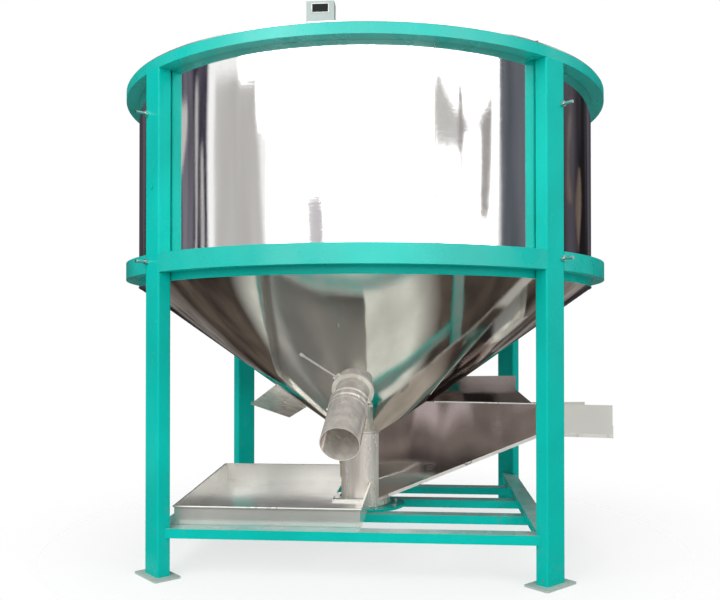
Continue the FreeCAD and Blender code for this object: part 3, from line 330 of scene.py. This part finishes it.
MATERIALS = {
    "teal": make_paint("teal_enamel", TEAL),
    "ring_teal": make_paint("teal_enamel_ring", TEAL, roughness=0.3, gloss=0.42),
    "rail_teal": make_paint("teal_enamel_rail", TEAL, wear=0.9, dust=1.0),
    "leg_teal": make_paint("teal_enamel_leg", TEAL, wear=0.9),
    "plate": make_paint("plate_primer", PLATE, roughness=0.5, peel=0.0002, wear=1.0),
    "drive": make_paint("drive_paint", DRIVE_GREY, roughness=0.42, peel=0.0002),
    "box": make_paint("box_paint", BOX_GREY, roughness=0.38),
    "mirror": make_steel("mirror_sheet", MIRROR, 0.03, 0.10, wave=0.010, tarnish=0.96),
    "cone": make_steel("cone_sheet", STEEL, 0.04, 0.12, wave=0.009),
    "sheet": make_steel("lid_sheet", STEEL, 0.16, 0.32, wave=0.002, metallic=0.8),
    "pan": make_steel("pan_sheet", PAN_STEEL, 0.12, 0.24, wave=0.003, metallic=0.5),
    "hopper": make_steel("hopper_sheet", HOPPER_STEEL, 0.04, 0.09, wave=0.05, metallic=0.95,
                         pale=PALE_STEEL),
    "pipe": make_steel("pipe_steel", PIPE_STEEL, 0.20, 0.32, grain=(1, 1, 12), metallic=0.45,
                       streaks=0.45, brush=0.2),
    "hem": make_steel("folded_edge", HEM_STEEL, 0.25, 0.4, metallic=0.4),
    "screw": make_steel("screw_steel", DULL_STEEL, 0.25, 0.45),
    "bolt": make_plain("bolt_zinc", ZINC, 0.32, metallic=1.0),
    "weld": make_plain("weld_bead", BEAD_STEEL, 0.38, metallic=1.0, grain=300.0, depth=0.0006),
    "brown_weld": make_plain("heated_bead", HEATED_BEAD, 0.42, metallic=0.8, grain=220.0,
                             depth=0.0012),
    "iron": make_plain("cast_iron", CAST_IRON, 0.6, metallic=0.4),
    "rubber": make_plain("gasket_rubber", RUBBER, 0.6),
    "window": make_plain("display_window", DARK_GLASS, 0.2, depth=0.0, gloss=0.1),
}

# The first start that a node's name has gives its material; the others are teal
STARTS = (
    ("tank_shell", "mirror"), ("cone_band", "teal"), ("cone", "cone"), ("leg_bolts", "bolt"),
    ("top_ring", "ring_teal"), ("lower_ring", "ring_teal"), ("base_rail", "rail_teal"),
    ("cross_rail", "rail_teal"), ("leg_", "leg_teal"), ("foot_plate", "plate"),
    ("foot_bearing", "iron"), ("feed_hopper", "hopper"), ("feed_chute", "pipe"),
    ("feed_", "pan"), ("spout", "pipe"), ("outlet", "pipe"), ("gate_rod", "hem"),
    ("gate", "pipe"), ("clamp", "pipe"), ("screw_casing", "pipe"), ("screw_", "screw"),
    ("spreader", "screw"), ("guide_", "screw"), ("lid_gasket", "rubber"), ("lid", "sheet"),
    ("hatch_", "sheet"), ("display_window", "window"), ("control_box", "box"),
    ("motor_beam", "teal"), ("motor_plate", "teal"), ("motor", "drive"),
    ("gear_unit", "drive"), ("fan_cover", "drive"), ("terminal_box", "drive"),
)
OUTLET_STARTS = ("outlet_stub", "gate_", "clamp_", "spout")


def material_for(name):
    return MATERIALS[next((key for start, key in STARTS if name.startswith(start)), "teal")]


def dress_nodes():
    """Gives each node its material; the outlet's pieces don't show in the polished sheets."""
    for name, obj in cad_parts.items():
        obj.visible_glossy = not name.startswith(OUTLET_STARTS)
        made = material_for(name)
        if not obj.material_slots:
            obj.data.materials.append(made)
        for slot in obj.material_slots:
            slot.material = made


def mesh_from(bm, name):
    """A mesh from a bmesh, which is freed."""
    mesh = bpy.data.meshes.new(name)
    bm.to_mesh(mesh)
    bm.free()
    return mesh


def placed(name, data):
    """An object in the scene."""
    obj = bpy.data.objects.new(name, data)
    bpy.context.scene.collection.objects.link(obj)
    return obj


def add_piece(name, mesh, material, body="frame"):
    """A visible piece that rides on a body."""
    obj = placed(name, mesh)
    obj.data.materials.append(MATERIALS[material])
    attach(obj, body)
    return obj


def bead(name, points, radius, material="weld", closed=False):
    """A weld bead, rim or ring: a round bar along a path."""
    curve = bpy.data.curves.new(name, "CURVE")
    curve.dimensions = "3D"
    curve.bevel_depth = radius
    curve.bevel_resolution = 2
    spline = curve.splines.new("POLY")
    spline.points.add(len(points) - 1)
    for place, point in zip(spline.points, points):
        place.co = (*point, 1)
    spline.use_cyclic_u = closed
    holder = placed(name, curve)
    mesh = bpy.data.meshes.new_from_object(holder)
    bpy.data.objects.remove(holder)
    for polygon in mesh.polygons:
        polygon.use_smooth = True
    return add_piece(name, mesh, material)


def point_at(radius, degrees, level):
    """A point at a distance and a direction from the tank's axis."""
    angle = math.radians(degrees)
    return Vector((radius * math.cos(angle), radius * math.sin(angle), level))


def around(radius, level, step=3.0):
    """Points of a closed circle about the tank's axis, with a step in degrees."""
    count = int(360.0 / step)
    return [point_at(radius, 360.0 * i / count, level) for i in range(count + 1)]


def bolt_mesh(radius, height):
    """A hexagon head with a chamfered crown on a washer, standing along Z."""
    bm = bmesh.new()
    for sides, lower, upper, depth, middle in BOLT_PARTS:
        bmesh.ops.create_cone(bm, cap_ends=True, segments=sides, radius1=radius * lower,
                              radius2=radius * upper, depth=height * depth,
                              matrix=Matrix.Translation((0, 0, height * middle)))
    return mesh_from(bm, "bolt")


def bolts(name, places, radius, height):
    """Bolts at (point, direction) pairs, as one piece."""
    bm = bmesh.new()
    single = bolt_mesh(radius, height)
    for point, direction in places:
        copy = single.copy()
        turn = Vector((0, 0, 1)).rotation_difference(Vector(direction)).to_matrix().to_4x4()
        copy.transform(Matrix.Translation(point) @ turn)
        bm.from_mesh(copy)
        bpy.data.meshes.remove(copy)
    mesh = mesh_from(bm, name)
    bpy.data.meshes.remove(single)
    return add_piece(name, mesh, "bolt")


def bolt_circle(name, circle, level, count, radius, height):
    """Upright bolts, evenly spaced on a circle about the tank's axis."""
    step = 360 / count
    places = [(point_at(circle, step * (i + 0.5), level), (0, 0, 1)) for i in range(count)]
    bolts(name, places, radius, height)


def make_camera():
    data = bpy.data.cameras.new("camera")
    data.lens = LENS
    data.sensor_width = SENSOR
    data.shift_y = SHIFT_UP
    camera = placed("camera", data)
    camera.location = CAMERA_PLACE
    camera.rotation_euler = (math.radians(90 + LOOK_UP), 0, math.radians(LOOK_TURN))
    bpy.context.scene.camera = camera


def make_area(name, place, target, size, power):
    """A rectangular lamp that faces a target."""
    data = bpy.data.lights.new(name, "AREA")
    data.shape = "RECTANGLE"
    data.size, data.size_y = size
    data.energy = power
    lamp = placed(name, data)
    lamp.location = place
    direction = Vector(target) - Vector(place)
    lamp.rotation_euler = direction.to_track_quat("-Z", "Y").to_euler()
    return lamp


def make_world():
    """White to the camera and in reflections, soft grey as a light."""
    world = bpy.data.worlds.new("studio")
    bpy.context.scene.world = world
    world.use_nodes = True
    tree = world.node_tree
    shown = tree.nodes["Background"]
    shown.inputs["Color"].default_value = (1, 1, 1, 1)
    shown.inputs["Strength"].default_value = 1.0
    lit = node(tree, "ShaderNodeBackground", Strength=0.75)
    path = tree.nodes.new("ShaderNodeLightPath")
    seen = combined(tree, "MAXIMUM", path.outputs["Is Camera Ray"], path.outputs["Is Glossy Ray"])
    seen = combined(tree, "MAXIMUM", seen, path.outputs["Is Transmission Ray"])
    mix = tree.nodes.new("ShaderNodeMixShader")
    link(tree, seen, mix.inputs[0])
    link(tree, lit.outputs[0], mix.inputs[1])
    link(tree, shown.outputs[0], mix.inputs[2])
    link(tree, mix.outputs[0], tree.nodes["World Output"].inputs["Surface"])


def make_floor():
    """A pale floor that keeps the shadow and fades into the white behind it."""
    bm = bmesh.new()
    bmesh.ops.create_circle(bm, cap_ends=True, segments=96, radius=FLOOR_END)
    floor = placed("floor", mesh_from(bm, "floor"))
    made, tree, shader = new_material("floor")
    shader.inputs["Base Color"].default_value = (*FLOOR_WHITE, 1)
    shader.inputs["Roughness"].default_value = 0.9
    shader.inputs["Specular IOR Level"].default_value = 0.0
    fade = between(tree, length_of(tree, coordinates(tree)), (FLOOR_FADE, FLOOR_END),
                   FLOOR_COVER, 0.0, smooth=True)
    link(tree, fade, shader.inputs["Alpha"])
    floor.data.materials.append(made)
    floor.location.z = -0.001


def glow(name, first, second, scale, stretch=(1, 1, 1)):
    """A soft light with streaks from one colour to another."""
    made, tree, light = new_glow(name, Strength=1.0)
    streaks = noise(tree, scale, detail=4, stretch=stretch, roughness=0.6)
    link(tree, ramp(tree, streaks, first, second, start=0.4, end=0.62), light.inputs["Color"])
    return made


def only_reflected(obj):
    """A studio flag: seen in polished metal, neither by the camera nor by the light."""
    obj.visible_camera = False
    obj.visible_shadow = False
    obj.visible_diffuse = False


def make_card(name, start, end, low, high, material, sway=0.0, slant=0.0,
              distance=CARD_DISTANCE):
    """An upright curved flag between two directions in degrees, with wavy upright edges."""
    bm = bmesh.new()
    columns = max(2, int(abs(end - start) / CARD_STEP))
    grid = []
    for row in range(CARD_ROWS + 1):
        share = row / CARD_ROWS
        bends = [0.0] * (columns + 1)
        bends[0] = sway * math.sin(5.3 * share + end) * 0.6
        bends[columns] = sway * math.sin(4.1 * share + start) + slant * (share - 0.5)
        level = low + (high - low) * share
        turns = [start + (end - start) * (i / columns) + bend for i, bend in enumerate(bends)]
        grid.append([bm.verts.new(point_at(distance, turn, level)) for turn in turns])
    for lower, upper in zip(grid, grid[1:]):
        for i in range(columns):
            bm.faces.new((lower[i], lower[i + 1], upper[i + 1], upper[i]))
    mesh = mesh_from(bm, name)
    mesh.materials.append(material)
    only_reflected(placed(name, mesh))


def make_ground_card():
    """The ground in reflections: pale below the tray, brown around it, patchy further out."""
    bm = bmesh.new()
    bmesh.ops.create_circle(bm, cap_ends=True, segments=64, radius=GROUND_RADIUS)
    mesh = mesh_from(bm, "ground_card")
    made, tree, light = new_glow("ground_glow", Strength=1.0)
    patches = noise(tree, 0.9, detail=4, roughness=0.6)
    brown = ramp(tree, patches, (0.022, 0.016, 0.015), (0.13, 0.105, 0.085), start=0.4, end=0.62)
    near = ramp(tree, noise(tree, 3.0, detail=4), (0.62, 0.64, 0.57), (0.86, 0.88, 0.81))
    far = ramp(tree, noise(tree, 1.3), (0.07, 0.058, 0.055), (0.36, 0.325, 0.30),
               start=0.38, end=0.60)
    shifted = tree.nodes.new("ShaderNodeVectorMath")
    shifted.operation = "SUBTRACT"
    link(tree, coordinates(tree), shifted.inputs[0])
    shifted.inputs[1].default_value = GROUND_MIDDLE
    away = length_of(tree, shifted.outputs["Vector"])
    shown = mixed(tree, between(tree, away, GROUND_PALE), near, brown)
    shown = mixed(tree, between(tree, away, GROUND_BROWN), shown, far)
    link(tree, shown, light.inputs["Color"])
    mesh.materials.append(made)
    obj = placed("ground_card", mesh)
    obj.location.z = 0.0005
    only_reflected(obj)


def make_studio():
    """Lamps, floor and the cards whose reflections shape the polished sheets."""
    make_world()
    make_floor()
    front = new_glow("front_glow", Color=(1, 1, 1, 1), Strength=3.2)[0]
    make_area("key", (-3.5, -5.0, 5.0), (0, 0, 1.4), (3.5, 3.5), 170)
    make_area("fill", (4.5, -4.0, 3.2), (0, 0, 1.2), (3.0, 3.0), 70)
    make_area("front", (-0.7, -7.0, 3.3), (0, 0, 1.4), (5.0, 2.8), 150).visible_glossy = False
    make_card("card_front", -126.5, -57, 1.0, 6.5, front, 0.5, 1.0, 6.6)
    make_area("top", (0, 1.0, 6.0), (0, 0, 1.5), (4.0, 4.0), 130)
    up = (1, 1, 0.12)
    dark = glow("dark_glow", (0.012, 0.011, 0.012), (0.10, 0.09, 0.11), 1.1, up)
    plum = glow("plum_glow", (0.030, 0.025, 0.045), (0.20, 0.19, 0.23), 1.6, up)
    slate = glow("slate_glow", (0.055, 0.065, 0.085), (0.18, 0.19, 0.21), 0.9, up)
    pale = glow("pale_glow", (0.50, 0.485, 0.475), (0.60, 0.59, 0.575), 1.4, up)
    veil = glow("veil_glow", (0.52, 0.49, 0.52), (0.74, 0.72, 0.74), 1.2, up)
    grey = glow("line_glow", (0.30, 0.28, 0.28), (0.42, 0.40, 0.39), 2.0, up)
    brown = glow("brown_glow", (0.10, 0.07, 0.055), (0.24, 0.19, 0.16), 1.4, up)
    # Name, from and to in degrees, from and to in metres, glow, sway, slant, distance
    cards = (
        ("card_left", 86, 178, 0, 7, dark),
        ("card_plum", 178.5, 205, 0, 7, plum, 1.6),
        ("card_wisp", 181, 187, 2.5, 3.5, pale, 1.5, 4.0, CARD_NEARER),
        ("card_pale", 208, 232, 0, 3.7, pale, 0.6, -5.0),
        ("card_smudge", 250, 256, 0, 2.45, veil, 1.2),
        ("card_mark", 261, 262.2, 2.85, 3.2, veil, 0.5, 1.0),
        ("card_thread", 196.5, 197.7, 0, 3.7, pale, 1.8, -2.0, CARD_NEARER),
        ("card_thread_low", 200.2, 201.0, 0, 3.0, pale, 1.2, 0.0, CARD_NEARER),
        ("card_line_left", -59.5, -59.0, 0, 2.7, veil, 0.4, 0.0, CARD_NEARER),
        ("card_line_right", -56.4, -55.8, 0, 2.9, veil, 0.5, 0.0, CARD_NEARER),
        ("card_brown_upper", 21, 22.6, 2.5, 3.6, brown, 3.0, 2.0, CARD_NEARER),
        ("card_brown_lower", 30, 33, 1.8, 2.9, brown, 3.5, -3.0, CARD_NEARER),
        ("card_veil", -44.5, -36, 3.1, 4.3, veil, 1.0, 2.0),
        ("card_arc", -57, -42, 2.9, 3.75, pale, 2.0, 5.0),
        ("card_line", -46.5, -44.8, 0, 3.9, grey, 0.7, 0.0, CARD_NEARER),
        ("card_wave", -37, -30.5, 2.2, 5, grey, 1.2, 4.0),
        ("card_slate", -27, -6, 0, 7, slate, 1.6),
        ("card_right", 8, 112, 0, 7, dark),
    )
    for card in cards:
        make_card(*card)
    make_ground_card()


def make_welds():
    """Seams up the shell and the casing, and beads at the casing's ends and on the band."""
    shell_seam = [point_at(TANK_RADIUS + SEAM_OUT, SHELL_SEAM_TURN, level)
                  for level in (SHELL_LOW.z + SHELL_SEAM_FOOT, SHELL_HIGH.z - SHELL_SEAM_TOP)]
    bead("seam_shell", shell_seam, SEAM_RADIUS)
    bead("seam_casing", around(CASING_RADIUS + WELD_OUT, CONE_LOW.z - 0.002), WELD_RADIUS)
    bead("seam_foot", around(CASING_RADIUS + WELD_OUT, CASING_LOW.z + 0.002), WELD_RADIUS)
    casing_seam = [point_at(CASING_RADIUS, CASING_SEAM_TURN, level)
                   for level in CASING_SEAM_LEVELS]
    bead("seam_casing_side", casing_seam, 0.0042, "brown_weld")
    bead("seam_band_low", around(TANK_RADIUS, CONE_HIGH.z, step=2), 0.0022, "teal")


def hopper_wall(x):
    """Outer face of the hopper's front wall: its place across and its lower edge, at an x."""
    share = (x - HOPPER_NEAR) / (HOPPER_END - HOPPER_NEAR)
    rise = min(x, HOPPER_BEND) - HOPPER_NEAR
    slope = (HOPPER_SHELF - HOPPER_LOW) / (HOPPER_BEND - HOPPER_NEAR)
    return -(HOPPER_NECK + share * (HOPPER_HALF - HOPPER_NECK)), HOPPER_LOW + slope * rise


def strip(name, lower, rise, out, material):
    """A thin folded edge that stands on a line of points: rise upwards, out towards the front."""
    inset = 0.0005
    corners = ((0, inset, 0), (0, -out, 0), (0, -out, rise), (0, inset, rise))
    bm = bmesh.new()
    rows = [[bm.verts.new(Vector(point) + Vector(corner)) for corner in corners]
            for point in lower]
    for first, second in zip(rows, rows[1:]):
        for i in range(4):
            bm.faces.new((first[i], first[(i + 1) % 4], second[(i + 1) % 4], second[i]))
    bm.faces.new(rows[0])
    bm.faces.new(rows[-1][::-1])
    bmesh.ops.recalc_face_normals(bm, faces=bm.faces)
    return add_piece(name, mesh_from(bm, name), material)


def make_hopper_edges():
    """The fold along the lower edge of the hopper's front wall, and the rim at its top."""
    lower = [(x, *hopper_wall(x)) for x in (0.13, 0.4, 0.7, HOPPER_BEND, 1.03, HOPPER_END)]
    strip("hopper_lower_fold", lower, rise=0.016, out=0.0018, material="hem")
    top = [(x, hopper_wall(x)[0] + 0.001, HOPPER_RIM) for x in (0.36, 0.7, HOPPER_BEND)]
    bead("hopper_rim", top, 0.0035, "hem")


def make_tray_edges():
    """Round rims on three sides of the tray."""
    (left, front, _), (right, back, high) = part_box("feed_tray")
    rim = high - 0.002
    corner = (TRAY_LEFT, front, rim)
    bead("tray_rim_front", [corner, (right, front, rim)], HEM_RADIUS, "hem")
    bead("tray_rim_left", [corner, (left, back, rim)], HEM_RADIUS, "hem")
    bead("tray_rim_back", [(left, back, rim), (TRAY_NOTCH, back, rim)], HEM_RADIUS, "hem")


def make_hopper_marks():
    """Two round marks on the hopper's front wall, a little flattened."""
    wide, tall, off = 0.028, 0.017, 0.0012
    tilt = math.atan2(HOPPER_HALF - HOPPER_NECK, HOPPER_END - HOPPER_NEAR)
    turns = [math.radians(20 * i) for i in range(18)]
    for index, (x, level) in enumerate(((0.338, 0.369), (0.515, 0.412))):
        y = hopper_wall(x)[0] - off
        ring = [Vector((x + wide * math.cos(a) * math.cos(tilt),
                        y - wide * math.cos(a) * math.sin(tilt), level + tall * math.sin(a)))
                for a in turns]
        bead(f"hopper_mark_{index + 1}", ring, 0.0018, "rubber", closed=True)


def make_window_frame():
    (left, front, low), (right, _, high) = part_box("display_window")
    bead("window_frame", [(left, front, low), (right, front, low), (right, front, high),
                          (left, front, high)], 0.0026, "hem", closed=True)


def make_rivet():
    """The rivet on the left of the spout's near end."""
    turn, slope = math.radians(OUTLET_TURN), math.radians(OUTLET_SLOPE)
    right = Vector((math.cos(turn), -math.sin(turn), 0))
    along = Vector((-math.sin(turn) * math.cos(slope), -math.cos(turn) * math.cos(slope),
                    -math.sin(slope)))
    place = Vector(OUTLET_START) + along * RIVET_ALONG - right * RIVET_LEFT
    bolts("spout_rivet", [(place, -right)], radius=0.007, height=0.012)


def make_fixings():
    """Bolts round the lid and the casing's flange."""
    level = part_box("lid")[1][2]
    bolt_circle("lid_bolts", (RING_RADIUS + TANK_RADIUS) / 2, level, count=24, radius=0.009,
                height=0.010)
    edge, _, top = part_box("casing_flange")[1]
    bolt_circle("flange_bolts", (edge + CASING_RADIUS) / 2, top, count=8, radius=0.010,
                height=0.011)


make_camera()
dress_nodes()
make_welds()
make_hopper_edges()
make_tray_edges()
make_hopper_marks()
make_window_frame()
make_rivet()
make_fixings()
make_studio()
bpy.context.scene.view_settings.view_transform = "Standard"
